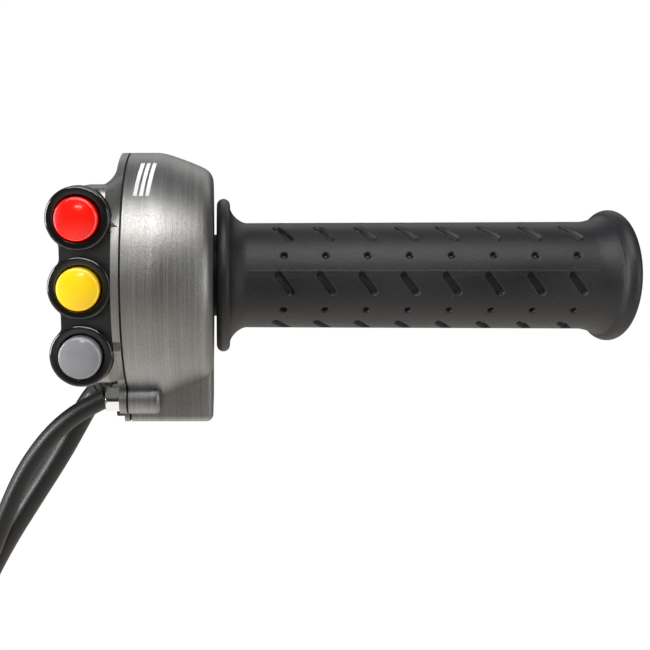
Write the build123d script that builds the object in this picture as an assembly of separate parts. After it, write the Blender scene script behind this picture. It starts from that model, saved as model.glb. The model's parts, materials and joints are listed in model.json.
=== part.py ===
"""Motorcycle throttle grip: cable drum housing with a three-button switch pod, twist tube and
rubber grip, for the right end of a 22 mm handlebar. Millimetres.

Frame: the origin is on the handlebar's axis, in the middle of the housing's clamp. +X runs along
the bar to its outboard end, -Y points at the rider and +Z is up.
"""
from build123d import *
import math
import os

# ---- driving dimensions ------------------------------------------------------------------
BAR_CLAMP_R = 11.1           # 22.2 mm handlebar
TUBE_BORE_R = 11.25          # twist tube turns on the bar
TUBE_R = 12.75
RUN_GAP = 0.06               # radial clearance of the bushes
DRUM_R = 38.0
COVER_X, GASKET_X, SEAM_X, DRUM_END_X = 5.8, 7.9, 8.5, 33.3
TUBE_X0, TUBE_X1 = 9.6, 157.0
GRIP_X0, GRIP_X1 = 34.3, 159.1
PULLEY_X, WIRE_PITCH_R = 14.0, 19.6
CABLE_Y, CABLE_Z = -20.4, -33.6      # axis of the cable's entry boss
BUTTON_X, BUTTON_ZS = -3.0, (21.0, 2.0, -17.0)
BUTTON_NAMES = ("red", "yellow", "grey")
PANEL_Y0, PANEL_Y1, BEZEL_Y = -34.6, -31.6, -36.2
PANEL_X0, PANEL_X1, PANEL_Z0, PANEL_Z1 = -8.4, 5.75, -15.0, 17.0
POD_X0, POD_Y1, POD_Z0, POD_Z1 = -9.0, -15.0, -25.7, 29.15
CABLE_R, HARNESS_R, WIRE_R = 2.9, 3.5, 0.75
HARNESS_Y, HARNESS_Z = -8.0, -29.5
WIRES_Y, WIRES_Z = -21.0, -23.1      # where the switch wires pass from the pod into the drum
CLAMP_X0, CLAMP_X1, COLLAR_R = -7.0, 5.8, 15.6
CLAMP_MID_X, CLAMP_SCREW_ZS, EAR_Z = -1.0, (-19.6, 19.6), 23.5

# Each cord's route, where it isn't coiled, from its exit to the side of its coil
CABLE_ROUTE = [(1.6, -20.4, -33.6), (-4.8, -20.4, -36.7), (-12.0, -20.5, -41.9), (-18.4, -20.6, -49.0),
               (-24.6, -20.6, -58.4), (-31.2, -20.2, -73.2), (-39.0, -19.0, -92.0), (-44.8, -17.8, -109.5),
               (-46.0, -17.25, -128.0)]
HARNESS_ROUTE = [(3.9, -8.0, -30.3), (-0.8, -8.0, -33.0), (-5.2, -8.0, -38.0), (-8.9, -8.1, -44.6),
                 (-15.0, -8.3, -55.6), (-24.1, -8.5, -69.8), (-34.6, -8.6, -86.4), (-43.4, -8.5, -103.6),
                 (-49.2, -8.35, -121.0), (-50.0, -8.25, -138.0)]
COIL_AXIS = {"throttle_cable": (-76.0, -128.0, 30.0), "switch_harness": (-83.0, -138.0, 33.0)}  # X, Z, radius
COIL_TURNS = {"throttle_cable": 4, "switch_harness": 2}
COIL_STEP = {"throttle_cable": -2 * CABLE_R, "switch_harness": 2 * HARNESS_R}   # along Y for each turn
TAIL = 26.0

os.makedirs("parts", exist_ok=True)
nodes = {}


def node(name, shape):
    nodes[name] = shape
    return shape


def rod(x0, x1, r, y=0.0, z=0.0):
    """Cylinder along X."""
    return Pos((x0 + x1) / 2, y, z) * (Rot(0, 90, 0) * Cylinder(r, x1 - x0))


def rod_y(y0, y1, r, x=0.0, z=0.0):
    """Cylinder along Y."""
    return Pos(x, (y0 + y1) / 2, z) * (Rot(90, 0, 0) * Cylinder(r, y1 - y0))


def block(x0, x1, y0, y1, z0, z1):
    return Pos((x0 + x1) / 2, (y0 + y1) / 2, (z0 + z1) / 2) * Box(x1 - x0, y1 - y0, z1 - z0)


def polar(r, degrees):
    """Y and Z of a point at radius r, counted from +Y towards +Z."""
    return r * math.cos(math.radians(degrees)), r * math.sin(math.radians(degrees))


def turned(edges):
    """Solid of revolution about X from a closed outline in the XY plane."""
    return revolve(make_face(Curve() + edges), Axis.X)


def swept(path, r, start, direction):
    return sweep(Plane(origin=start, z_dir=direction) * Circle(r), path=path)


def corner_radii(points):
    """Largest neat arc at each inner point of a route: 0.45 of the shorter run over tan(half the turn)."""
    vectors = [Vector(*b) - Vector(*a) for a, b in zip(points, points[1:])]
    return [0.45 * min(a.length, b.length) / math.tan(math.radians(a.get_angle(b) / 2))
            for a, b in zip(vectors, vectors[1:])]


def tube_along(name, points, r):
    radii = corner_radii(points)
    path = FilletPolyline(*points, radius=radii)
    print(name, "length %.0f, smallest bend radius %.1f mm" % (path.length, min(radii)),
          [round(v) for v in radii])
    solid = swept(path, r, points[0], Vector(*points[1]) - Vector(*points[0]))
    print("   volume / (section x length) = %.4f" % (solid.volume / (math.pi * r * r * path.length)))
    return solid


def socket_screw(x, y, z, head_r, head_l, shank_r, shank_l):
    """Socket cap screw along +X, with its head's underside at x."""
    screw = rod(x - head_l, x, head_r, y, z) + rod(x, x + shank_l, shank_r, y, z)
    socket = Plane(origin=(x - head_l, y, z), z_dir=(1, 0, 0)) * RegularPolygon(head_r * 0.5, 6)
    return screw - extrude(socket, head_l * 0.6)


# ---- cable entry: elbow from the boss up to the pulley's lower side ------------------------
BOSS_DISTANCE = math.hypot(CABLE_Y, CABLE_Z)
WIRE_ANGLE = (math.atan2(-CABLE_Z, -CABLE_Y) - math.asin(WIRE_PITCH_R / BOSS_DISTANCE))
WIRE_RUN = math.sqrt(BOSS_DISTANCE ** 2 - WIRE_PITCH_R ** 2)
TANGENT_DEG = math.degrees(WIRE_ANGLE) - 90     # where the wire meets the pulley
ELBOW_R = 6.0
wire_dir = (0, math.cos(WIRE_ANGLE), math.sin(WIRE_ANGLE))


def along_wire(s):
    return (PULLEY_X, CABLE_Y + s * wire_dir[1], CABLE_Z + s * wire_dir[2])


def elbow_path(x0, run):
    """From x0 along +X, round the elbow and along the wire's own line to run mm from the boss's axis."""
    bend_x = PULLEY_X - ELBOW_R
    first = Line((x0, CABLE_Y, CABLE_Z), (bend_x, CABLE_Y, CABLE_Z))
    bend = TangentArc((bend_x, CABLE_Y, CABLE_Z), along_wire(ELBOW_R), tangent=(1, 0, 0))
    return Curve() + [first, bend, Line(along_wire(ELBOW_R), along_wire(run))]


def along_elbow(x0, run, r):
    return swept(elbow_path(x0, run), r, (x0, CABLE_Y, CABLE_Z), (1, 0, 0))


# ---- housing ------------------------------------------------------------------------------
BOSS_R, BOSS_END_X = 4.7, 18.0
BLOCK_Y0, BLOCK_Y1, BLOCK_Z, BLOCK_COVER_X = -16.6, 9.0, -42.9, 6.4
POST_DEGREES, POST_R, POST_X1 = (64, 14, -36), 31.2, 23.0
COVER_SCREWS = [(COVER_X, *polar(POST_R, a)) for a in POST_DEGREES] + [(BLOCK_COVER_X, -12.4, -39.6)]
SCREW_R, SCREW_HOLE_R, SCREW_HEAD_R, SCREW_HEAD_L = 1.25, 1.3, 2.25, 2.6
BUSH_R = 14.5
HUB_R, HUB_X = 18.0, 20.5


# The pod's metal beside the top and bottom buttons: (y, z) points of its front where it leaves the pod, and
# where it meets the seam on the drum's own circle
LOBE_X, LOBE_Y, LOBE_BACK, LOBE_CHAMFER, BEZEL_GAP_R = 4.4, -34.2, -20.0, 1.0, 9.05
UPPER_LOBE = [(LOBE_Y, 17.2), (LOBE_Y, 22.5), (-33.7, 25.6), (-32.4, 28.0), (-30.4, POD_Z1)]
UPPER_RIM = [17.2, 20.6, 24.4, 28.4, 32.3]
LOWER_LOBE = [(LOBE_Y, -13.0), (LOBE_Y, -18.0), (-33.9, -21.4), (-33.1, -24.0), (-31.4, POD_Z0)]
LOWER_RIM = [-13.0, -16.6, -20.0, -23.0, POD_Z0]
# Flat recesses (x, z) between those shoulders and the drum's rim, and how far forward they leave the metal
UPPER_RECESS, UPPER_RECESS_Y = [(5.3, 17.2), (8.4, 17.2), (8.4, 18.4), (6.0, 23.2), (5.3, 24.4)], -33.2
LOWER_RECESS, LOWER_RECESS_Y = [(5.3, -13.0), (8.4, -13.0), (8.4, -14.0), (6.0, -18.8), (5.3, -20.0)], -34.5


def lower_block(x0, x1, rounding):
    """Squared foot under the drum, with rounded lower edges, up to the drum's lower half."""
    foot = block(x0, x1, BLOCK_Y0, BLOCK_Y1, BLOCK_Z, -24)
    return fillet(foot.edges().filter_by(Axis.X).group_by(Axis.Z)[0], rounding)


def housing_body():
    shoulder = Spline((16, DRUM_R), (21.2, 37.0), (26.2, 35.2), (30.6, 33.3), tangents=[(1, 0), (1, -0.5)])
    outline = [Line((SEAM_X, 0), (SEAM_X, DRUM_R)), Line((SEAM_X, DRUM_R), (16, DRUM_R)), shoulder,
               ThreePointArc((30.6, 33.3), (32.7, 31.3), (DRUM_END_X, 28.4)),
               Line((DRUM_END_X, 28.4), (DRUM_END_X, 0)), Line((DRUM_END_X, 0), (SEAM_X, 0))]
    foot = lower_block(SEAM_X, DRUM_END_X, 2.2)
    foot = fillet(foot.edges().filter_by(Axis.Y).group_by(Axis.Z)[0].sort_by(Axis.X)[-1], 2.2)
    boss = fillet(rod(SEAM_X, BOSS_END_X, BOSS_R, CABLE_Y, CABLE_Z).edges().sort_by(Axis.X)[-1], 2.0)
    boss_web = block(SEAM_X, BOSS_END_X - 1.6, CABLE_Y - 0.8, CABLE_Y + 5.2, CABLE_Z + 1.2, CABLE_Z + 9.2)
    body = turned(outline) + foot + boss + boss_web
    for x1, r in ((20.5, 35.0), (26.5, 32.6), (30.2, 29.5)):
        body -= rod(SEAM_X, x1, r)
    body += rod(HUB_X, 31, HUB_R)
    for _, y, z in COVER_SCREWS[:3]:
        body += rod(SEAM_X, POST_X1, 3.9, y, z)
    body -= rod(0, 60, BUSH_R)
    for _, y, z in COVER_SCREWS:
        body -= rod(SEAM_X, SEAM_X + 13, SCREW_HOLE_R, y, z)
    return body - along_elbow(SEAM_X - 1, ELBOW_R + 9, 2.1)


def pod_outline():
    """Front view of the pod's metal: straight left wall, with a hollow curve up to the cover's rim."""
    left, right, rim_z = POD_X0, GASKET_X, DRUM_R - 1.5
    low_round, top_round = 6.0, 7.0
    curve_start, curve_middle, curve_end = (1.8, POD_Z1), (4.6, 31.0), (COVER_X, 35.2)
    foot, top = (left + low_round, POD_Z0), (left + top_round, POD_Z1)
    wall_foot, wall_top = (left, POD_Z0 + low_round), (left, POD_Z1 - top_round)
    edges = [Line((right, POD_Z0), foot),
             ThreePointArc(foot, (left + 1.8, POD_Z0 + 1.8), wall_foot),
             Line(wall_foot, wall_top),
             ThreePointArc(wall_top, (left + 2.1, POD_Z1 - 2.1), top),
             Line(top, curve_start),
             ThreePointArc(curve_start, curve_middle, curve_end),
             Line(curve_end, (COVER_X, rim_z)), Line((COVER_X, rim_z), (right, rim_z)),
             Line((right, rim_z), (right, POD_Z0))]
    return make_face(Curve() + edges)


def section(x, front):
    """Flat face at x, from a curved front of (y, z) points back to the lobe's back."""
    points = [(x, y, z) for y, z in front]
    low, high = (x, LOBE_BACK + 1, front[0][1]), (x, LOBE_BACK + 1, front[-1][1])
    sides = [Line(points[-1], high), Line(high, low), Line(low, points[0])]
    return make_face(Curve() + [Spline(*points)] + sides)


def pod_shoulder(button_z, at_pod, rim_zs):
    """Metal that stands round an end button's bezel and falls away to the drum's own surface at the seam."""
    flat = section(LOBE_X, at_pod)
    at_rim = section(GASKET_X, [(-math.sqrt(DRUM_R ** 2 - z ** 2), z) for z in rim_zs])
    lobe = loft([flat, at_rim], ruled=True) + extrude(flat, LOBE_X - BUTTON_X, dir=(-1, 0, 0))
    lobe -= rod_y(-60, PANEL_Y1, BEZEL_GAP_R, BUTTON_X, button_z)
    lobe -= block(BUTTON_X, COVER_X, -60, PANEL_Y1, PANEL_Z0 - 0.05, PANEL_Z1 + 0.05)
    flare = Rot(90, 0, 0) * Cone(BEZEL_GAP_R, BEZEL_GAP_R + LOBE_CHAMFER, LOBE_CHAMFER)
    return lobe - Pos(BUTTON_X, LOBE_Y - 0.25, button_z) * flare


def recess(outline, front_y):
    """Everything in front of front_y inside an (x, z) outline."""
    face = Plane.XZ.offset(-front_y) * make_face(Polyline(*outline, close=True))
    return extrude(face, 20)


def pod_cavity():
    """Room for the switches, with left corners that keep the pod's wall even round its rounded outline."""
    room = block(POD_X0 + 1.1, 3.6, PANEL_Y1 - 1, POD_Y1 - 1.4, POD_Z0 + 1.3, POD_Z1 - 1.3)
    room = fillet(room.edges().filter_by(Axis.Y).group_by(Axis.X)[0].sort_by(Axis.Z)[0], 4.8)
    return fillet(room.edges().filter_by(Axis.Y).sort_by(lambda e: e.center().X - e.center().Z)[0], 5.8)


def housing_cover():
    disc = rod(COVER_X, GASKET_X, DRUM_R)
    disc += rod(COVER_X, GASKET_X, BOSS_R, CABLE_Y, CABLE_Z)
    disc += lower_block(BLOCK_COVER_X, GASKET_X, 2.2)
    pod = extrude(Plane.XZ.offset(-POD_Y1) * pod_outline(), POD_Y1 - PANEL_Y1)
    side = make_face(Polyline((POD_Y1, POD_Z0), (PANEL_Y1, POD_Z0), (PANEL_Y1, 27.2), (-29.4, POD_Z1),
                              (-22.9, POD_Z1), (-15.0, 35.0), close=True))
    pod = pod & (Plane.YZ * extrude(side, 40, both=True))
    pod -= block(LOBE_X, 20, -60, 0, -60, 60) - rod(0, 30, DRUM_R)
    pod += pod_shoulder(BUTTON_ZS[0], UPPER_LOBE, UPPER_RIM)
    pod += pod_shoulder(BUTTON_ZS[-1], LOWER_LOBE, LOWER_RIM)
    pod -= recess(UPPER_RECESS, UPPER_RECESS_Y)
    collar = rod(CLAMP_X0, CLAMP_X1, COLLAR_R)
    ears = block(CLAMP_X0, CLAMP_X1, -8, 0, -EAR_Z, EAR_Z)
    half = block(-20, CLAMP_X1, -40, -0.5, -30, 30)
    cover = disc + pod + ((collar + ears) & half) - recess(LOWER_RECESS, LOWER_RECESS_Y)
    cover -= pod_cavity()
    cover -= rod(CLAMP_X0 - 5, CLAMP_X1 - 0.4, BAR_CLAMP_R)
    cover -= rod(CLAMP_X1 - 0.4, 20, BUSH_R)
    cover -= rod(COVER_X - 1, 20, 4.6, HARNESS_Y, HARNESS_Z)
    cover -= rod(0, 20, 1.5, WIRES_Y, WIRES_Z)
    cover -= rod(COVER_X - 2, GASKET_X + 1, 2.1, CABLE_Y, CABLE_Z)
    for x, y, z in COVER_SCREWS:
        cover -= rod(x - 1, 20, SCREW_HOLE_R, y, z)
    for z in CLAMP_SCREW_ZS:
        cover -= rod_y(-7, 1, 1.55, CLAMP_MID_X, z)
    spigot = rod(GASKET_X, 10.8, 16.6) - rod(GASKET_X - 1, 12, BUSH_R)
    return cover + (spigot + (rod(COVER_X, GASKET_X, 16.6) - rod(0, 12, BUSH_R)))


node("housing_body", housing_body())
node("housing_cover", housing_cover())
GASKET_BORE_R = 34.2
gasket_bore = rod(GASKET_X - 1, SEAM_X + 1, GASKET_BORE_R)
gasket = rod(GASKET_X, SEAM_X, DRUM_R - 0.8) - gasket_bore
gasket += rod(GASKET_X, SEAM_X, BOSS_R - 0.8, CABLE_Y, CABLE_Z)
gasket += block(GASKET_X, SEAM_X, BLOCK_Y0 + 0.8, BLOCK_Y1 - 0.8, BLOCK_Z + 0.8, -34.6) - gasket_bore
for _, y, z in COVER_SCREWS[:3]:
    gasket += rod(GASKET_X, SEAM_X, 3.6, y, z)
for _, y, z in COVER_SCREWS:
    gasket -= rod(GASKET_X - 1, SEAM_X + 1, SCREW_HOLE_R, y, z)
gasket -= rod(GASKET_X - 1, SEAM_X + 1, 4.7, HARNESS_Y, HARNESS_Z)
node("cover_gasket", gasket - rod(GASKET_X - 1, SEAM_X + 1, 2.1, CABLE_Y, CABLE_Z))
node("cover_screws", Compound([socket_screw(x, y, z, SCREW_HEAD_R, SCREW_HEAD_L, SCREW_R, 14)
                               for x, y, z in COVER_SCREWS]))

# ---- handlebar clamp: the cover's collar and a loose rear cap --------------------------------
cap = (rod(CLAMP_X0, CLAMP_X1 - 0.4, COLLAR_R) + block(CLAMP_X0, CLAMP_X1 - 0.4, 0, 7.5, -EAR_Z, EAR_Z))
cap = cap & block(-20, 20, 0.5, 40, -30, 30)
cap -= rod(CLAMP_X0 - 5, 20, BAR_CLAMP_R)
for z in CLAMP_SCREW_ZS:
    cap -= rod_y(0, 20, 1.8, CLAMP_MID_X, z)
node("handlebar_clamp_cap", cap)
clamp_screws = []
for z in CLAMP_SCREW_ZS:
    screw = rod_y(-6.5, 7.5, 1.5, CLAMP_MID_X, z) + rod_y(7.5, 10.5, 2.75, CLAMP_MID_X, z)
    socket = Plane(origin=(CLAMP_MID_X, 10.5, z), z_dir=(0, -1, 0)) * RegularPolygon(1.4, 6)
    clamp_screws.append(screw - extrude(socket, 1.8))
node("clamp_screws", Compound(clamp_screws))

# ---- bushes and thrust washer ----------------------------------------------------------------
bush_bore = TUBE_R + RUN_GAP
node("outboard_bush", rod(20.5, 33.0, BUSH_R) + rod(19.7, 20.5, 17.4) - rod(0, 60, bush_bore))
node("inboard_bush", rod(9.5, 10.8, BUSH_R) - rod(0, 60, bush_bore))
node("thrust_washer", rod(8.3, 9.4, BUSH_R) - rod(0, 60, 11.7))

# ---- twist tube, pulley and grip: they turn together -------------------------------------------
PULLEY_R, PULLEY_X0, PULLEY_X1 = 22.4, 11.2, 16.8
PULLEY_SCREWS = [polar(15.1, a) for a in (30, 150, 270)]
NIPPLE_DEG = TANGENT_DEG + 26
tube = rod(TUBE_X0, TUBE_X1, TUBE_R) + rod(PULLEY_X1, 19.4, 17.4)
for y, z in PULLEY_SCREWS:
    tube -= rod(PULLEY_X1, 19.0, 1.05, y, z)
node("throttle_tube", tube - rod(0, 200, TUBE_BORE_R))

groove = turned([Polyline((PULLEY_X - 0.9, 18.7), (PULLEY_X + 0.9, 18.7), (PULLEY_X + 1.7, 24),
                          (PULLEY_X - 1.7, 24), (PULLEY_X - 0.9, 18.7))])
pulley = rod(PULLEY_X0, PULLEY_X1, PULLEY_R) - groove - rod(0, 60, TUBE_R)
for y, z in PULLEY_SCREWS:
    pulley -= rod(PULLEY_X0, PULLEY_X1, 1.05, y, z)
    pulley -= rod(PULLEY_X0, PULLEY_X0 + 1.4, 2.0, y, z)
NIPPLE_X0, NIPPLE_X1, NIPPLE_R, NIPPLE_PLAY = 12.0, 16.0, 2.0, 0.1
POCKET_X0, POCKET_X1, POCKET_R = NIPPLE_X0 - NIPPLE_PLAY, NIPPLE_X1 + NIPPLE_PLAY, NIPPLE_R + NIPPLE_PLAY
for r in (WIRE_PITCH_R, WIRE_PITCH_R + 2.6):     # the nipple's pocket, open at the pulley's rim
    pulley -= rod(POCKET_X0, POCKET_X1, POCKET_R, *polar(r, NIPPLE_DEG))
node("cable_pulley", pulley)
node("pulley_screws", Compound([socket_screw(PULLEY_X0 + 1.4, y, z, 1.9, 1.3, 1.0, 6.0)
                                for y, z in PULLEY_SCREWS]))
node("cable_nipple", rod(NIPPLE_X0, NIPPLE_X1, NIPPLE_R, *polar(WIRE_PITCH_R, NIPPLE_DEG)))
wound = Plane(origin=(PULLEY_X, *polar(WIRE_PITCH_R, TANGENT_DEG + 1)),
              z_dir=(0, *polar(1, TANGENT_DEG + 91)))
wound_arc = ThreePointArc((PULLEY_X, *polar(WIRE_PITCH_R, TANGENT_DEG + 1)),
                          (PULLEY_X, *polar(WIRE_PITCH_R, TANGENT_DEG + 10)),
                          (PULLEY_X, *polar(WIRE_PITCH_R, NIPPLE_DEG - 5.9)))
node("wound_wire", sweep(wound * Circle(WIRE_R), path=wound_arc))

RIM_X, RIM_R, RIM_ROUND = 156.3, 17.6, 2.8
FLANGE_R, FLANGE_X1, BODY_R0, BODY_R1 = 23.9, 38.4, 16.35, 16.75
flange_round = (FLANGE_X1 - GRIP_X0) / 2
grip_outline = [
    Line((GRIP_X0, TUBE_R), (GRIP_X0, FLANGE_R - flange_round)),
    ThreePointArc((GRIP_X0, FLANGE_R - flange_round), (GRIP_X0 + flange_round, FLANGE_R),
                  (FLANGE_X1, FLANGE_R - flange_round)),
    Line((FLANGE_X1, FLANGE_R - flange_round), (FLANGE_X1 + 0.3, 20.6)),
    Spline((FLANGE_X1 + 0.3, 20.6), (40.2, 17.9), (43.6, BODY_R0), tangents=[(0.15, -1), (1, 0)]),
    Line((43.6, BODY_R0), (147.5, BODY_R1)),
    Spline((147.5, BODY_R1), (151.6, 17.4), (153.9, 19.0), tangents=[(1, 0), (1, 0.9)]),
    ThreePointArc((153.9, 19.0), (RIM_X + 0.4, RIM_R + RIM_ROUND), (GRIP_X1, RIM_R)),
    Line((GRIP_X1, RIM_R), (GRIP_X1, 12.0)), Line((GRIP_X1, 12.0), (TUBE_X1, 12.0)),
    Line((TUBE_X1, 12.0), (TUBE_X1, TUBE_R)), Line((TUBE_X1, TUBE_R), (GRIP_X0, TUBE_R))]
node("grip_rubber", turned(grip_outline))

# ---- throttle cable's fittings on the housing ----------------------------------------------------
elbow = along_elbow(1.8, ELBOW_R + 2.5, 2.0)
node("cable_elbow", elbow - along_elbow(1.0, ELBOW_R + 4, 1.0))
node("inner_wire", along_elbow(1.8, WIRE_RUN - 0.6, WIRE_R))
NUT_X0, NUT_X1 = 1.6, COVER_X
NUT_FLAT_R = 3.55            # half of its width across flats; one corner faces the rider
hexagon = RegularPolygon(NUT_FLAT_R, 6, major_radius=False, rotation=30)
nut = extrude(Plane(origin=(NUT_X0, CABLE_Y, CABLE_Z), z_dir=(1, 0, 0)) * hexagon, NUT_X1 - NUT_X0)
nut_cone = Cone(3.5, 5.4, 2.9, align=(Align.CENTER, Align.CENTER, Align.MIN))
nut_limit = Pos(NUT_X0, CABLE_Y, CABLE_Z) * (Rot(0, 90, 0) * nut_cone)
nut &= nut_limit + rod(NUT_X0 + 1.2, NUT_X1, 4.4, CABLE_Y, CABLE_Z)
node("cable_nut", nut - rod(0, 20, 2.02, CABLE_Y, CABLE_Z))

# ---- switch pod -------------------------------------------------------------------------------------
HOLE_R, CAP_R, BEZEL_R, SWITCH_R, SWITCH_Y = 6.2, 5.95, 8.75, 4.6, -31.0
CAP_FACE_Y, CAP_BACK_Y = -39.2, -33.1
panel_sketch = Pos((PANEL_X0 + PANEL_X1) / 2, 2.0) * Rectangle(PANEL_X1 - PANEL_X0, 38.0)
panel_sketch -= Pos(PANEL_X1, PANEL_Z1 + 10) * Rectangle(2 * (PANEL_X1 - BUTTON_X), 20)
panel_sketch -= Pos(PANEL_X1, PANEL_Z0 - 10) * Rectangle(2 * (PANEL_X1 - BUTTON_X), 20)
for z in BUTTON_ZS:
    panel_sketch += Pos(BUTTON_X, z) * Circle(BEZEL_R)
necks = [v for v in panel_sketch.vertices() if v.X < PANEL_X0 + 1.4 and abs(v.Y - 2) < 16]
panel_sketch = fillet(necks, 2.4)
panel = extrude(Plane.XZ.offset(-PANEL_Y1) * panel_sketch, PANEL_Y1 - PANEL_Y0)
for z in BUTTON_ZS:
    panel -= rod_y(-50, 0, HOLE_R, BUTTON_X, z)
node("switch_panel", panel)
for name, z in zip(BUTTON_NAMES, BUTTON_ZS):
    bezel = rod_y(BEZEL_Y, PANEL_Y0, BEZEL_R, BUTTON_X, z)
    bezel = chamfer(bezel.edges().filter_by(GeomType.CIRCLE).sort_by(Axis.Y)[0], 0.5)
    node(f"{name}_button_bezel", bezel - rod_y(-50, 0, HOLE_R, BUTTON_X, z))
    cap_solid = rod_y(CAP_FACE_Y, CAP_BACK_Y, CAP_R, BUTTON_X, z)
    cap_solid = fillet(cap_solid.edges().filter_by(GeomType.CIRCLE).sort_by(Axis.Y)[0], 0.6)
    node(f"{name}_button_cap", cap_solid)
    node(f"{name}_button_plunger", rod_y(CAP_BACK_Y, -26.0, 1.5, BUTTON_X, z))
    helix = Helix(pitch=0.62, height=1.55, radius=2.7, center=(0, 0, 0))
    spring = sweep(Plane(origin=helix @ 0, z_dir=helix % 0) * Circle(0.2), path=helix)
    node(f"{name}_button_spring", Pos(BUTTON_X, SWITCH_Y - 0.27, z) * (Rot(90, 0, 0) * spring))
    switch = rod_y(SWITCH_Y, -18.6, SWITCH_R, BUTTON_X, z) - rod_y(-40, -23.6, 1.6, BUTTON_X, z)
    node(f"{name}_switch", switch)
board = block(-7.2, 2.8, -18.2, -16.9, -24.0, 26.5)
board = chamfer(board.edges().filter_by(Axis.Y).group_by(Axis.X)[0], 2.6)
legs = Compound([rod_y(-18.6, -18.2, 0.4, BUTTON_X + dx, z) for z in BUTTON_ZS for dx in (-2.5, 2.5)])
node("switch_board", board)
node("switch_legs", legs)
wires_start, wires_turn_x = (-2.0, -18.2, WIRES_Z), 10.4
wires = FilletPolyline(wires_start, (-2, WIRES_Y, WIRES_Z), (wires_turn_x, WIRES_Y, WIRES_Z),
                       (wires_turn_x, HARNESS_Y, HARNESS_Z), (7.0, HARNESS_Y, HARNESS_Z),
                       radius=[1.6, 2.4, 1.9])
node("switch_wires", swept(wires, 1.0, wires_start, (0, -1, 0)))
grommet = rod(3.9, COVER_X, 5.4, HARNESS_Y, HARNESS_Z) + rod(COVER_X, 8.4, 4.55, HARNESS_Y, HARNESS_Z)
node("harness_grommet", grommet - rod(6.9, 12, 1.02, HARNESS_Y, HARNESS_Z))

# ---- the two cords: free stretch, neat coil, tie and far end ------------------------------------------
beyond_nut = block(NUT_X0, 60, -60, 60, -60, 0)
beyond_grommet = block(3.9, 60, -60, 60, -60, 0)


def start_back(points, s):
    """The route begun s mm further inside, so that its end can be cut flush."""
    first, second = Vector(*points[0]), Vector(*points[1])
    back = first + (first - second).normalized() * s
    return [(back.X, back.Y, back.Z)] + list(points[1:])


def coil_and_tail(cord, route, r):
    """Band of turns wound side by side on a cylinder along Y, the tie round it and the hanging tail."""
    x, z, radius = COIL_AXIS[cord]
    turns, step = COIL_TURNS[cord], COIL_STEP[cord]
    y_in = route[-1][1]
    y_out = y_in + turns * step
    y0, y1 = min(y_in, y_out) - r, max(y_in, y_out) + r
    node(f"{cord}_coil", rod_y(y0, y1, radius + r, x, z) - rod_y(y0 - 1, y1 + 1, radius - r, x, z))
    strap = block(x - 2.5, x + 2.5, y0 - 1.2, y1 + 1.2, z + radius - r - 1.6, z + radius + r + 1.2)
    strap -= block(x - 3, x + 3, y0 - 0.05, y1 + 0.05, z + radius - r - 0.4, z + radius + r + 0.05)
    node(f"{cord}_tie", strap)
    return x + radius, y_out, z


for cord, route, r, cut in (("throttle_cable", CABLE_ROUTE, CABLE_R, beyond_nut),
                            ("switch_harness", HARNESS_ROUTE, HARNESS_R, beyond_grommet)):
    node(cord, tube_along(cord, start_back(route, 2.0), r) - cut)
    end_x, end_y, end_z = coil_and_tail(cord, route, r)
    tail_end = end_z - TAIL
    node(f"{cord}_tail", Pos(end_x, end_y, (end_z + tail_end) / 2) * Cylinder(r, TAIL))
    if cord == "throttle_cable":
        ferrule = Pos(end_x, end_y, tail_end - 5) * Cylinder(3.4, 10)
        node("cable_end_ferrule", ferrule - Pos(end_x, end_y, tail_end - 5) * Cylinder(0.8, 10))
        node("cable_end_wire", Pos(end_x, end_y, tail_end - 22) * Cylinder(WIRE_R, 44))
        node("cable_end_nipple", Pos(end_x, end_y, tail_end - 47) * (Rot(0, 90, 0) * Cylinder(3.0, 6)))
    else:
        shell = block(end_x - 6.5, end_x + 6.5, end_y - 4, end_y + 4, tail_end - 20, tail_end)
        shell = fillet(shell.edges().filter_by(Axis.Z), 1.5)
        mouth = block(end_x - 5.2, end_x + 5.2, end_y - 2.8, end_y + 2.8, tail_end - 21, tail_end - 9)
        latch = block(end_x - 2, end_x + 2, end_y - 5.4, end_y - 4, tail_end - 14, tail_end - 3)
        node("harness_connector", shell - mouth + latch)
        pins = [Pos(end_x + dx, end_y, tail_end - 13) * Cylinder(0.6, 8) for dx in (-3.2, 0, 3.2)]
        node("connector_pins", Compound(pins))

for name, shape in nodes.items():
    export_step(shape, f"parts/{name}.step")
print(len(nodes), "nodes")
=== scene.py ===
"""Motorcycle throttle grip: looks, in metres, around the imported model."""
import json
import math

import bmesh
import bpy
import numpy as np
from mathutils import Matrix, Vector


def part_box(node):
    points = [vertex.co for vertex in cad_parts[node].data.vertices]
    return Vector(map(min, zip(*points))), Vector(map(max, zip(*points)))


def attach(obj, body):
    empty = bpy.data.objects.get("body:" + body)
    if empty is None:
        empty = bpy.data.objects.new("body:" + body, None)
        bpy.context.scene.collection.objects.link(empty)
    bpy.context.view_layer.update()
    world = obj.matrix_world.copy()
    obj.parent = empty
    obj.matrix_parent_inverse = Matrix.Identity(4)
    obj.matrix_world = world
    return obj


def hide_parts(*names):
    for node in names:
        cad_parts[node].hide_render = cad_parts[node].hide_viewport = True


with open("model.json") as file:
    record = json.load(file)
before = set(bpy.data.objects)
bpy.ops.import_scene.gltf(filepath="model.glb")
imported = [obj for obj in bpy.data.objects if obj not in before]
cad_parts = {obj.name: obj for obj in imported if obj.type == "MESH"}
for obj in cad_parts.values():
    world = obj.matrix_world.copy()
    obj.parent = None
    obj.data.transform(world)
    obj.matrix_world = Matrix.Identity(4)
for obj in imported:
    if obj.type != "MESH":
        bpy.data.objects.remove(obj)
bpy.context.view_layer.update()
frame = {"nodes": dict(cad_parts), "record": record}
nodes = frame["nodes"]
MM = 0.001

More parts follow.
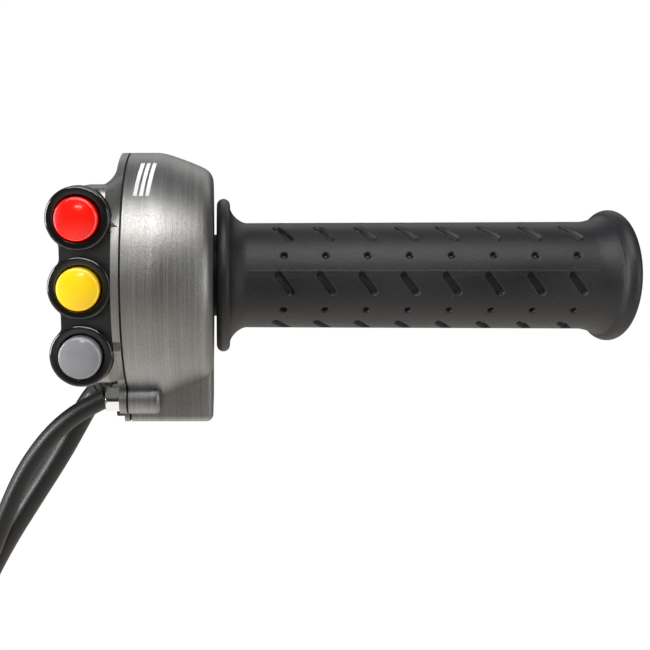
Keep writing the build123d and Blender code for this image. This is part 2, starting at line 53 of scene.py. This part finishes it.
# ---- camera: 10 degrees above the bar, its picture plane parallel to the bar -------------------
CAMERA_ELEVATION = math.radians(10)
CAMERA_DISTANCE, CAMERA_X, CAMERA_DROP = 0.2607, 0.036, -0.0046
camera_data = bpy.data.cameras.new("camera")
camera_data.sensor_width = 36
camera_data.lens = 45.9
camera_data.shift_x, camera_data.shift_y = 0.158, -0.054
camera_data.clip_start = 0.01
camera = bpy.data.objects.new("camera", camera_data)
bpy.context.scene.collection.objects.link(camera)
cos_e, sin_e = math.cos(CAMERA_ELEVATION), math.sin(CAMERA_ELEVATION)
camera.location = (CAMERA_X, -CAMERA_DISTANCE * cos_e + CAMERA_DROP * sin_e,
                   CAMERA_DISTANCE * sin_e + CAMERA_DROP * cos_e)
camera.rotation_euler = (math.pi / 2 - CAMERA_ELEVATION, 0, 0)
bpy.context.scene.camera = camera
bpy.context.scene.view_settings.view_transform = "Standard"


# ---- materials ------------------------------------------------------------------------------------
class Material:
    """A principled material with short helpers for its node tree."""

    def __init__(self, name, color, metallic=0.0, roughness=0.5, **sockets):
        self.data = bpy.data.materials.new(name)
        self.data.use_nodes = True
        self.tree = self.data.node_tree
        self.shader = self.tree.nodes["Principled BSDF"]
        self.set("Base Color", (*color, 1))
        self.set("Metallic", metallic)
        self.set("Roughness", roughness)
        for key, value in sockets.items():
            self.set(key.replace("_", " "), value)
        self.coords = self.tree.nodes.new("ShaderNodeTexCoord").outputs["Object"]

    def set(self, socket, value):
        self.shader.inputs[socket].default_value = value

    def link(self, a, b):
        self.tree.links.new(a, b)

    def noise(self, scale, stretch=(1, 1, 1), detail=3.0, rough=0.5):
        """Noise of scale features per metre, stretched along the axes."""
        mapping = self.tree.nodes.new("ShaderNodeMapping")
        mapping.inputs["Scale"].default_value = tuple(s * scale for s in stretch)
        self.link(self.coords, mapping.inputs["Vector"])
        noise = self.tree.nodes.new("ShaderNodeTexNoise")
        noise.inputs["Scale"].default_value = 1.0
        noise.inputs["Detail"].default_value = detail
        noise.inputs["Roughness"].default_value = rough
        self.link(mapping.outputs["Vector"], noise.inputs["Vector"])
        return noise.outputs["Fac"]

    def remap(self, value, low, high, from_low=0.3, from_high=0.7):
        node = self.tree.nodes.new("ShaderNodeMapRange")
        for socket, v in (("From Min", from_low), ("From Max", from_high), ("To Min", low), ("To Max", high)):
            node.inputs[socket].default_value = v
        self.link(value, node.inputs["Value"])
        return node.outputs["Result"]

    def mix(self, a, b, factor, blend="MIX"):
        """a and b are colours or sockets; factor is a number or a socket."""
        node = self.tree.nodes.new("ShaderNodeMix")
        node.data_type = "RGBA"
        node.blend_type = blend
        for socket, value in ((0, factor), (6, a), (7, b)):
            if hasattr(value, "is_output"):
                self.link(value, node.inputs[socket])
            elif isinstance(value, tuple):
                node.inputs[socket].default_value = (*value, 1)
            else:
                node.inputs[socket].default_value = value
        return node.outputs[2]

    def add(self, a, b, weight=1.0):
        node = self.tree.nodes.new("ShaderNodeMath")
        node.operation = "MULTIPLY_ADD"
        self.link(b, node.inputs[0])
        node.inputs[1].default_value = weight
        self.link(a, node.inputs[2])
        return node.outputs[0]

    def color(self, socket):
        self.link(socket, self.shader.inputs["Base Color"])

    def roughness(self, socket):
        self.link(socket, self.shader.inputs["Roughness"])

    def bump(self, height, distance, strength=1.0):
        """distance is the bump's depth in metres."""
        node = self.tree.nodes.new("ShaderNodeBump")
        node.inputs["Strength"].default_value = strength
        node.inputs["Distance"].default_value = distance
        self.link(height, node.inputs["Height"])
        self.link(node.outputs["Normal"], self.shader.inputs["Normal"])


def anodised_metal():
    """Graphite anodising over turning marks that run round the bar's axis, with a sparkle of grain."""
    m = Material("anodised_metal", (0.28, 0.28, 0.275), metallic=1.0, roughness=0.42)
    lines = m.noise(1, (2600, 22, 22), detail=4, rough=0.7)
    broad_lines = m.noise(1, (520, 9, 9), detail=2)
    grain = m.noise(1900, detail=3, rough=0.6)
    cloud = m.noise(30, detail=2)
    tone = m.mix((0.250, 0.254, 0.256), (0.330, 0.320, 0.302), m.remap(cloud, 0, 1))
    lined = m.mix(tone, (0.46, 0.46, 0.45), m.remap(m.add(lines, broad_lines, 0.5), 0, 0.5, 0.68, 1.0))
    m.color(m.mix(lined, (0.12, 0.12, 0.118), m.remap(grain, 0, 0.5, 0.52, 0.8)))
    m.roughness(m.remap(m.add(lines, grain, 0.8), 0.34, 0.49, 0.6, 1.2))
    m.bump(m.add(lines, grain, 0.9), 0.00005)
    return m.data


def grip_rubber():
    m = Material("grip_rubber", (0.040, 0.040, 0.042), roughness=0.62, Specular_IOR_Level=0.45)
    fine = m.noise(2400, detail=4, rough=0.65)
    specks = m.noise(900, detail=5, rough=0.75)
    smears = m.noise(70, (0.4, 1, 1), detail=3)
    base = m.mix((0.008, 0.008, 0.0095), (0.015, 0.015, 0.017), m.remap(smears, 0, 1))
    m.color(m.mix(base, (0.085, 0.085, 0.088), m.remap(specks, 0, 0.5, 0.60, 0.78)))
    m.roughness(m.remap(m.add(fine, smears), 0.35, 0.54, 0.7, 1.3))
    m.bump(m.add(fine, specks, 0.6), 0.00009)
    return m.data


def moulded(name, color, roughness, grain=0.00003, scale=3000, **sockets):
    """Moulded plastic or rubber with a fine texture and a little unevenness."""
    m = Material(name, color, roughness=roughness, **sockets)
    fine = m.noise(scale, detail=3)
    broad = m.noise(120, detail=3)
    darker = tuple(c * 0.82 for c in color)
    lighter = tuple(min(1, c * 1.15) for c in color)
    m.color(m.mix(darker, lighter, m.remap(broad, 0, 1)))
    m.roughness(m.remap(m.add(fine, broad), roughness * 0.88, min(1, roughness * 1.14), 0.7, 1.3))
    m.bump(fine, grain)
    return m.data


def button_plastic(name, color, edge):
    """Glossy cap: its colour mixed in random clouds with a deeper tone, faint scuffs."""
    m = Material(name, color, roughness=0.2, Coat_Weight=0.5, Coat_Roughness=0.05)
    cloud = m.noise(160, detail=2)
    scuffs = m.noise(500, (1, 1, 3), detail=6, rough=0.8)
    m.color(m.mix(color, edge, m.remap(cloud, 0, 0.6, 0.35, 0.75)))
    m.roughness(m.remap(scuffs, 0.16, 0.36, 0.45, 0.85))
    m.bump(cloud, 0.00002)
    return m.data


def metal(name, color, roughness, scratch=0.00001, stretch=(300, 2500, 2500)):
    m = Material(name, color, metallic=1.0, roughness=roughness)
    marks = m.noise(1, stretch, detail=4, rough=0.7)
    darker = tuple(c * 0.8 for c in color)
    m.color(m.mix(darker, color, m.remap(marks, 0, 1)))
    m.roughness(m.remap(marks, roughness * 0.7, min(1, roughness * 1.5)))
    m.bump(marks, scratch)
    return m.data


MATERIALS = {
    "anodised": anodised_metal(),
    "grip": grip_rubber(),
    "gasket": moulded("gasket_rubber", (0.010, 0.010, 0.010), 0.7),
    "black_steel": metal("black_oxide_steel", (0.045, 0.045, 0.048), 0.42),
    "chrome": metal("chrome_plate", (0.80, 0.81, 0.82), 0.09, scratch=0.000004),
    "steel": metal("bright_steel", (0.56, 0.56, 0.57), 0.28),
    "bush": moulded("acetal", (0.66, 0.65, 0.60), 0.45),
    "tube": moulded("black_nylon", (0.020, 0.020, 0.020), 0.5),
    "panel": moulded("panel_plastic", (0.010, 0.010, 0.010), 0.48, grain=0.00005, scale=4200),
    "bezel": moulded("bezel_plastic", (0.0035, 0.0035, 0.004), 0.16, grain=0.000004, Coat_Weight=1.0,
                     Specular_IOR_Level=0.6),
    "red_cap": button_plastic("red_button_plastic", (0.96, 0.010, 0.003), (0.86, 0.006, 0.002)),
    "yellow_cap": button_plastic("yellow_button_plastic", (0.98, 0.64, 0.010), (0.95, 0.54, 0.006)),
    "grey_cap": button_plastic("grey_button_plastic", (0.24, 0.245, 0.26), (0.18, 0.185, 0.20)),
    "switch": moulded("switch_plastic", (0.03, 0.03, 0.03), 0.5),
    "board": moulded("board_mask", (0.02, 0.12, 0.05), 0.4),
    "sheath": moulded("cord_sheath", (0.005, 0.005, 0.0054), 0.42, grain=0.00001, scale=2400),
    "brass": metal("brass", (0.72, 0.52, 0.22), 0.3),
    "wire_cover": moulded("wire_insulation", (0.2, 0.02, 0.02), 0.45),
    "connector": moulded("natural_nylon", (0.55, 0.54, 0.49), 0.4, Subsurface_Weight=0.1),
    "print": moulded("white_print", (0.88, 0.88, 0.86), 0.42),
}


# ---- mesh helpers -----------------------------------------------------------------------------------
def finish_piece(name, mesh, slot_name, body="root", stands_for=()):
    obj = bpy.data.objects.new(name, mesh)
    bpy.context.scene.collection.objects.link(obj)
    mesh.materials.append(MATERIALS[slot_name])
    if stands_for:
        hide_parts(*stands_for)
    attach(obj, body)
    return obj


def grid_mesh(name, points, closed_profile=True):
    """points[i][j]: profile step i, turn step j. Closed round both ways, or open along the profile."""
    rows, columns = points.shape[:2]
    mesh = bpy.data.meshes.new(name)
    i = np.arange(rows if closed_profile else rows - 1)[:, None]
    j = np.arange(columns)[None, :]
    i2, j2 = (i + 1) % rows, (j + 1) % columns
    corners = [i * columns + j, i * columns + j2, i2 * columns + j2, i2 * columns + j]
    faces = np.stack(corners, -1).reshape(-1, 4)
    mesh.vertices.add(rows * columns)
    mesh.vertices.foreach_set("co", points.reshape(-1).astype(np.float32))
    mesh.loops.add(faces.size)
    mesh.loops.foreach_set("vertex_index", faces.reshape(-1).astype(np.int32))
    mesh.polygons.add(len(faces))
    mesh.polygons.foreach_set("loop_start", np.arange(0, faces.size, 4, dtype=np.int32))
    mesh.update(calc_edges=True)
    mesh.shade_smooth()
    return mesh


def lathe_y(name, outline, x, z, steps=96):
    """Closed solid of revolution about the line (x, z) along Y. outline is a list of (radius, y), in mm,
    whose ends on the axis become single points."""
    mesh = bpy.data.meshes.new(name)
    bm = bmesh.new()
    rings = []
    for radius, y in outline:
        if radius == 0:
            rings.append([bm.verts.new((x * MM, y * MM, z * MM))])
            continue
        rings.append([bm.verts.new(((x + radius * math.cos(a)) * MM, y * MM, (z + radius * math.sin(a)) * MM))
                      for a in (2 * math.pi * k / steps for k in range(steps))])
    pairs = list(zip(rings, rings[1:]))
    if outline[0][0] and outline[-1][0]:
        pairs.append((rings[-1], rings[0]))
    for a, b in pairs:
        for k in range(steps):
            k2 = (k + 1) % steps
            corners = [a[k % len(a)], a[k2 % len(a)], b[k2 % len(b)], b[k % len(b)]]
            bm.faces.new(list(dict.fromkeys(corners)))
    bmesh.ops.recalc_face_normals(bm, faces=bm.faces)
    bm.to_mesh(mesh)
    bm.free()
    mesh.shade_smooth()
    return mesh


def arc_points(cx, cy, r, start, end, count):
    """(radius, y)-style points on an arc, angles in degrees."""
    return [(cx + r * math.cos(math.radians(start + (end - start) * k / count)),
             cy + r * math.sin(math.radians(start + (end - start) * k / count))) for k in range(count + 1)]


# ---- grip ---------------------------------------------------------------------------------------------
GRIP_STEPS = 420
SLOT_COLUMNS, SLOT_X0, SLOT_PITCH, SLOT_ROWS = 8, 54.3, 12.41, 6
SLOT_LENGTH, SLOT_WIDTH, SLOT_DEPTH, SLOT_TILT = 8.4, 2.15, 1.4, math.radians(54)
DOT_R, DOT_DEPTH = 0.95, 1.3
SEAM_ANGLE, SEAM_HEIGHT, SEAM_WIDTH = math.radians(13), 0.10, 0.25
grip_lo, grip_hi = (Vector(c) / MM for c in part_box("grip_rubber"))
GRIP_X0, GRIP_X1, FLANGE_R = grip_lo.x, grip_hi.x, grip_hi.z
TUBE_R, MOUTH_R, TUBE_END = 12.75, 12.0, 157.0
FLANGE_X1, BODY_X0, BODY_X1, BODY_R0, BODY_R1 = 38.4, 43.6, 147.5, 16.35, 16.75
RIM_R, CREASE_X, CREASE_R = 20.4, 153.7, 18.6


def smooth(t):
    t = np.clip(t, 0, 1)
    return t * t * (3 - 2 * t)


def blend_curve(p, q, slope_p, slope_q, count):
    """Cubic from p to q with the given end tangents."""
    p, q, a, b = (np.array(v, float) for v in (p, q, slope_p, slope_q))
    t = np.linspace(0, 1, count + 1)[:, None]
    places = (2 * t**3 - 3 * t**2 + 1) * p + (-2 * t**3 + 3 * t**2) * q
    slopes = (t**3 - 2 * t**2 + t) * a + (t**3 - t**2) * b
    return [tuple(v) for v in places + slopes]


def grip_profile():
    """Outline (x, radius) of the rubber: from the inner flange to the rim, then back along the tube."""
    round_r = (FLANGE_X1 - GRIP_X0) / 2
    flange_mid = GRIP_X0 + round_r
    rim_r = 2.8
    rim_x = GRIP_X1 - rim_r
    outer = arc_points(flange_mid, FLANGE_R - round_r, round_r, 180, 0, 24)
    outer += blend_curve((FLANGE_X1, 21.2), (BODY_X0, BODY_R0), (0.4, -6.5), (6.0, 0), 26)
    body = [(x, BODY_R0 + (BODY_R1 - BODY_R0) * (x - BODY_X0) / (BODY_X1 - BODY_X0))
            for x in np.arange(BODY_X0 + 0.3, BODY_X1, 0.28)]
    flare = blend_curve((BODY_X1, BODY_R1), (CREASE_X, CREASE_R), (5.5, 0.1), (3.2, 2.4), 28)
    rim = arc_points(rim_x, RIM_R - rim_r, rim_r, 150, 0, 26)
    back = [(GRIP_X1, 16.6), (GRIP_X1, 14.4), (GRIP_X1 - 0.15, 12.5), (GRIP_X1 - 0.5, MOUTH_R)]
    back += [(TUBE_END, MOUTH_R), (TUBE_END, TUBE_R)]
    back += [(x, TUBE_R) for x in np.linspace(TUBE_END - 2, GRIP_X0 + 1, 12)]
    back += [(GRIP_X0, TUBE_R), (GRIP_X0, 16.0), (GRIP_X0, 19.0)]
    return outer + body + flare + rim + back


def pattern_depth(x, angle, radius):
    """How far the slots and dots sink the surface. angle is counted from -Y towards +Z."""
    row_step = math.radians(360 / SLOT_ROWS)
    depth = np.zeros(np.broadcast(x, angle).shape)
    for column in range(SLOT_COLUMNS):
        dx = x - (SLOT_X0 + column * SLOT_PITCH)
        near = np.abs(dx[:, 0]) < SLOT_LENGTH
        for k in range(SLOT_ROWS):
            turn = (angle - row_step * k + math.pi) % (2 * math.pi) - math.pi
            ds = turn * radius[near]
            along = dx[near] * math.cos(SLOT_TILT) - ds * math.sin(SLOT_TILT)
            across = dx[near] * math.sin(SLOT_TILT) + ds * math.cos(SLOT_TILT)
            over = np.maximum(np.abs(along) - (SLOT_LENGTH - SLOT_WIDTH) / 2, 0)
            edge = SLOT_WIDTH / 2 - np.hypot(over, across)
            depth[near] = np.maximum(depth[near], SLOT_DEPTH * smooth((edge + 0.18) / 0.52))
            turn = (angle - row_step * (k + 0.5) + math.pi) % (2 * math.pi) - math.pi
            edge = DOT_R - np.hypot(dx[near], turn * radius[near])
            depth[near] = np.maximum(depth[near], DOT_DEPTH * smooth((edge + 0.2) / 0.6))
    return depth


def make_grip():
    profile = np.array(grip_profile())
    angle = np.linspace(0, 2 * math.pi, GRIP_STEPS, endpoint=False)[None, :]
    x, radius = profile[:, :1], profile[:, 1:]
    patterned = (x > BODY_X0) & (x < BODY_X1) & (radius > TUBE_R + 1)
    sunk = np.where(patterned, pattern_depth(x, angle, radius), 0)
    r = radius - sunk
    seam = SEAM_HEIGHT * np.exp(-((angle - SEAM_ANGLE) * radius / SEAM_WIDTH) ** 2)
    r = r + np.where(patterned & (sunk < 0.01), seam, 0)
    points = np.stack([np.broadcast_to(x, r.shape), -r * np.cos(angle), r * np.sin(angle)], -1) * MM
    finish_piece("grip_sleeve", grid_mesh("grip_sleeve", points), "grip", "throttle", ["grip_rubber"])


make_grip()


# ---- buttons --------------------------------------------------------------------------------------------
def make_button(color):
    lo, hi = (Vector(c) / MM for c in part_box(f"{color}_button_cap"))
    x, z, r = (lo.x + hi.x) / 2, (lo.z + hi.z) / 2, (hi.x - lo.x) / 2
    dome, edge_r, edge_slope = 1.05, 0.7, math.radians(21.4)   # edge_slope: of the dome at its edge
    flat_r = r - edge_r * (1 - math.sin(edge_slope))
    face = [(0, lo.y)] + [(flat_r * t, lo.y + dome * t * t) for t in np.linspace(0.05, 1, 24)]
    corner = arc_points(r - edge_r, lo.y + dome + edge_r * math.cos(edge_slope), edge_r, -68.6, 0, 12)
    # The back has a ring-shaped pocket that takes the spring when the cap is pressed
    back, pocket_depth, pocket_in, pocket_out = hi.y - 0.1, 1.7, 1.8, 3.4
    rear = [(r, back - 0.2), (r - 0.2, back), (pocket_out, back), (pocket_out, back - pocket_depth),
            (pocket_in, back - pocket_depth), (pocket_in, hi.y), (0, hi.y)]
    cap = lathe_y(f"{color}_cap", face + corner + rear, x, z)
    finish_piece(f"{color}_cap", cap, f"{color}_cap", f"{color}_button", [f"{color}_button_cap"])

    lo, hi = (Vector(c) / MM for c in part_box(f"{color}_button_bezel"))
    big, hole, edge, front = (hi.x - lo.x) / 2, 6.2, 0.7, lo.y + 0.03
    outline = [(big, hi.y), (big, hi.y - 0.3)]
    outline += arc_points(big - edge, front + edge, edge, 0, -90, 14)
    outline += [(big - edge - 0.1, front), (hole + 0.62, lo.y + 0.14),
                (hole + 0.54, lo.y + 0.16), (hole + 0.46, lo.y + 0.2), (hole + 0.38, lo.y + 0.3),
                (hole + 0.04, lo.y + 0.9), (hole, lo.y + 1.1), (hole, hi.y)]
    ring = lathe_y(f"{color}_bezel", outline, x, z, 128)
    finish_piece(f"{color}_bezel", ring, "bezel", "root", [f"{color}_button_bezel"])


for button_color in ("red", "yellow", "grey"):
    make_button(button_color)


# ---- cords -----------------------------------------------------------------------------------------------
CABLE_ROUTE = [(1.6, -20.4, -33.6), (-4.8, -20.4, -36.7), (-12.0, -20.5, -41.9), (-18.4, -20.6, -49.0),
               (-24.6, -20.6, -58.4), (-31.2, -20.2, -73.2), (-39.0, -19.0, -92.0), (-44.8, -17.8, -109.5),
               (-46.0, -17.25, -128.0)]
HARNESS_ROUTE = [(3.9, -8.0, -30.3), (-0.8, -8.0, -33.0), (-5.2, -8.0, -38.0), (-8.9, -8.1, -44.6),
                 (-15.0, -8.3, -55.6), (-24.1, -8.5, -69.8), (-34.6, -8.6, -86.4), (-43.4, -8.5, -103.6),
                 (-49.2, -8.35, -121.0), (-50.0, -8.25, -138.0)]
CABLE_R, HARNESS_R = 2.9, 3.5
# Each coil's centre in X, the radius of its turns, their number, and a turn's step along Y
CABLE_COIL, HARNESS_COIL = (-76.0, 30.0, 4, -2 * CABLE_R), (-83.0, 33.0, 2, 2 * HARNESS_R)
COIL_POINTS, TAIL = 16, 26.0


def coil_points(route, centre_x, radius, turns, step):
    """Turns wound side by side round a line along Y, entered at the right-hand side going down."""
    _, y, z = route[-1]
    control_r = radius / math.cos(math.pi / COIL_POINTS)
    points = []
    for k in range(1, turns * COIL_POINTS):
        a = 2 * math.pi * k / COIL_POINTS
        place = (centre_x + control_r * math.cos(a), y + step * k / COIL_POINTS, z - control_r * math.sin(a))
        points.append(place)
    out_y = y + step * turns
    return points + [(centre_x + radius, out_y, z), (centre_x + radius, out_y, z - TAIL / 2),
                     (centre_x + radius, out_y, z - TAIL)]


def make_cord(name, route, radius, coil):
    curve = bpy.data.curves.new(name, "CURVE")
    curve.dimensions = "3D"
    curve.bevel_depth = radius * MM
    curve.bevel_resolution = 8
    curve.resolution_u = 10
    curve.use_fill_caps = True
    points = route + coil_points(route, *coil)
    spline = curve.splines.new("NURBS")
    spline.points.add(len(points) - 1)
    for control, place in zip(spline.points, points):
        control.co = (*(c * MM for c in place), 1)
    spline.order_u = 3
    spline.use_endpoint_u = True
    cord = finish_piece(f"{name}_cord", curve, "sheath", "root", [name, f"{name}_coil", f"{name}_tail"])


BOOT_R, BOOT_TAPER, BOOT_INNER_R = 5.15, 1.25, 3.0
BOOT_GROOVES, BOOT_GROOVE_DEPTH, BOOT_PLAIN_FROM = 5.5, 0.32, 0.93


def make_boot():
    """Tapered, ribbed strain relief where the harness leaves the housing, along the harness's first run."""
    start, bend, end = (np.array(p) for p in HARNESS_ROUTE[:3])
    middle, tip = start * 0.4 + bend * 0.6, bend * 0.35 + end * 0.65
    t = np.linspace(0, 1, 61)
    along = t[:, None]
    rows = (1 - along) ** 2 * start + 2 * along * (1 - along) * middle + along ** 2 * tip
    way = np.gradient(rows, axis=0)
    way /= np.linalg.norm(way, axis=1)[:, None]
    side = np.array((0.0, 1.0, 0.0))
    up = np.cross(way, side)
    up /= np.linalg.norm(up, axis=1)[:, None]
    grooved = (np.sin(t * 2 * math.pi * BOOT_GROOVES) > 0.35) * (t < BOOT_PLAIN_FROM)
    radius = BOOT_R - BOOT_TAPER * t - BOOT_GROOVE_DEPTH * grooved
    a = np.linspace(0, 2 * math.pi, 64, endpoint=False)[None, :, None]
    outer = rows[:, None, :] + radius[:, None, None] * (np.cos(a) * side + np.sin(a) * up[:, None, :])
    inner_ring = np.cos(a) * side + np.sin(a) * up[::-1][:, None, :]
    inner = rows[::-1][:, None, :] + BOOT_INNER_R * inner_ring
    mesh = grid_mesh("harness_boot", np.concatenate([outer, inner]) * MM)
    finish_piece("harness_boot", mesh, "gasket", "root", ["harness_grommet"])


make_boot()
make_cord("throttle_cable", CABLE_ROUTE, CABLE_R, CABLE_COIL)
make_cord("switch_harness", HARNESS_ROUTE, HARNESS_R, HARNESS_COIL)


# ---- printed stripes on the drum: plain slanted bars ------------------------------------------------
def make_stripe(index, x0, x1, low, high, lean):
    """A thin printed bar on the drum: x0 to x1 along the bar, low to high in degrees from -Y towards +Z."""
    under, thickness = 0.015, 0.03
    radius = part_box("housing_body")[1][2] / MM + under
    columns, rows = 10, 24
    mesh = bpy.data.meshes.new(f"stripe_{index}")
    bm = bmesh.new()
    layers = []
    for r in (radius, radius + thickness):
        layer = []
        for i in range(rows + 1):
            t = i / rows
            a = math.radians(low + (high - low) * t)
            layer.append([bm.verts.new(((x0 + lean * t + (x1 - x0) * j / columns) * MM, -r * math.cos(a) * MM,
                                        r * math.sin(a) * MM)) for j in range(columns + 1)])
        layers.append(layer)
    for layer in layers:
        for i in range(rows):
            for j in range(columns):
                bm.faces.new((layer[i][j], layer[i][j + 1], layer[i + 1][j + 1], layer[i + 1][j]))
    rim = [(i, 0) for i in range(rows)] + [(rows, j) for j in range(columns)]
    rim += [(i, columns) for i in range(rows, 0, -1)] + [(0, j) for j in range(columns, 0, -1)]
    for (a, b), (c, d) in zip(rim, rim[1:] + rim[:1]):
        bm.faces.new((layers[0][a][b], layers[0][c][d], layers[1][c][d], layers[1][a][b]))
    bmesh.ops.recalc_face_normals(bm, faces=bm.faces)
    bm.to_mesh(mesh)
    bm.free()
    mesh.shade_smooth()
    finish_piece(f"stripe_{index}", mesh, "print")


STRIPES, STRIPE_X0, STRIPE_WIDTH, STRIPE_PITCH, STRIPE_LEAN = 3, 11.2, 1.1, 1.7, 1.4
STRIPE_LOW, STRIPE_HIGH = 44, 68
for stripe in range(STRIPES):
    stripe_x = STRIPE_X0 + STRIPE_PITCH * stripe
    make_stripe(stripe, stripe_x, stripe_x + STRIPE_WIDTH, STRIPE_LOW, STRIPE_HIGH, STRIPE_LEAN)


# ---- materials of the CAD nodes that stay -----------------------------------------------------------
slot_of = {part["node"]: part["material_slot"] for part in frame["record"]["subparts"]}
for name, obj in nodes.items():
    obj.data.materials.clear()
    obj.data.materials.append(MATERIALS[slot_of[name]])


# ---- stage and light --------------------------------------------------------------------------------
def make_stage():
    """Pale round floor that curves up into a closed backdrop. It glows evenly and only the camera sees it,
    so that the studio's dark upper half is what the metal mirrors."""
    floor_z, floor_r, cove_r, ceiling_z, centre_r = -0.40, 1.2, 0.5, 3.0, 0.001
    profile = [(centre_r, floor_z), (floor_r, floor_z)]
    for a in np.linspace(0.1, math.pi / 2, 12):
        profile.append((floor_r + cove_r * math.sin(a), floor_z + cove_r - cove_r * math.cos(a)))
    profile += [(floor_r + cove_r, ceiling_z), (centre_r, ceiling_z)]
    turn = np.linspace(0, 2 * math.pi, 72, endpoint=False)[None, :]
    radius, height = (np.array(profile)[:, i:i + 1] for i in (0, 1))
    points = np.stack([radius * np.cos(turn), radius * np.sin(turn), height + 0 * turn], -1)
    backdrop = bpy.data.objects.new("backdrop", grid_mesh("backdrop", points, closed_profile=False))
    bpy.context.scene.collection.objects.link(backdrop)
    paper = Material("backdrop_paper", (0, 0, 0), roughness=1.0, Emission_Color=(1, 1, 1, 1),
                     Emission_Strength=1.0)
    backdrop.data.materials.append(paper.data)
    backdrop.visible_diffuse = backdrop.visible_glossy = backdrop.visible_shadow = False


def make_studio():
    """Grey surroundings: dim overhead, a little lighter at eye level, warm and lighter from the floor."""
    world = bpy.data.worlds.new("studio")
    world.use_nodes = True
    tree = world.node_tree
    coords = tree.nodes.new("ShaderNodeTexCoord")
    axes = tree.nodes.new("ShaderNodeSeparateXYZ")
    ramp = tree.nodes.new("ShaderNodeValToRGB")
    height = tree.nodes.new("ShaderNodeMapRange")
    height.inputs["From Min"].default_value = -1
    tree.links.new(coords.outputs["Generated"], axes.inputs["Vector"])
    tree.links.new(axes.outputs["Z"], height.inputs["Value"])
    tree.links.new(height.outputs["Result"], ramp.inputs["Fac"])
    tree.links.new(ramp.outputs["Color"], tree.nodes["Background"].inputs["Color"])
    tones = [(0.0, (1.5, 1.45, 1.40)), (0.04, (0.92, 0.87, 0.80)), (0.20, (0.72, 0.67, 0.605)),
             (0.33, (0.37, 0.352, 0.33)), (0.44, (0.100, 0.098, 0.096)), (0.55, (0.045, 0.045, 0.046)),
             (0.88, (0.09, 0.09, 0.095)), (1.0, (0.26, 0.265, 0.28))]
    ramp.color_ramp.elements[0].position, ramp.color_ramp.elements[0].color = 0.0, (*tones[0][1], 1)
    ramp.color_ramp.elements[1].position, ramp.color_ramp.elements[1].color = 1.0, (*tones[-1][1], 1)
    for place, tone in tones[1:-1]:
        ramp.color_ramp.elements.new(place).color = (*tone, 1)
    bpy.context.scene.world = world


def soft_light(name, place, target, size, power):
    data = bpy.data.lights.new(name, "AREA")
    data.shape = "RECTANGLE"
    data.size, data.size_y = size
    data.energy = power
    light = bpy.data.objects.new(name, data)
    light.location = place
    light.rotation_euler = (Vector(target) - Vector(place)).to_track_quat("-Z", "Y").to_euler()
    bpy.context.scene.collection.objects.link(light)


make_stage()
make_studio()
soft_light("key", (0.06, -0.31, 0.47), (0.05, 0, 0), (0.60, 0.24), 2.8)
soft_light("front_fill", (-0.02, -0.64, 0.27), (0.0, 0, 0), (0.14, 0.045), 0.2)
soft_light("left_light", (-0.56, -0.30, 0.06), (0.0, 0, 0), (0.16, 0.40), 4.4)
soft_light("left_back_light", (-0.60, 0.10, -0.04), (0.0, 0, 0), (0.25, 0.5), 0.7)
soft_light("back_light", (0.10, 0.60, 0.45), (0.05, 0, 0), (1.2, 0.4), 1.3)
soft_light("end_light", (0.50, -0.20, 0.02), (0.15, 0, 0), (0.2, 0.3), 0.5)
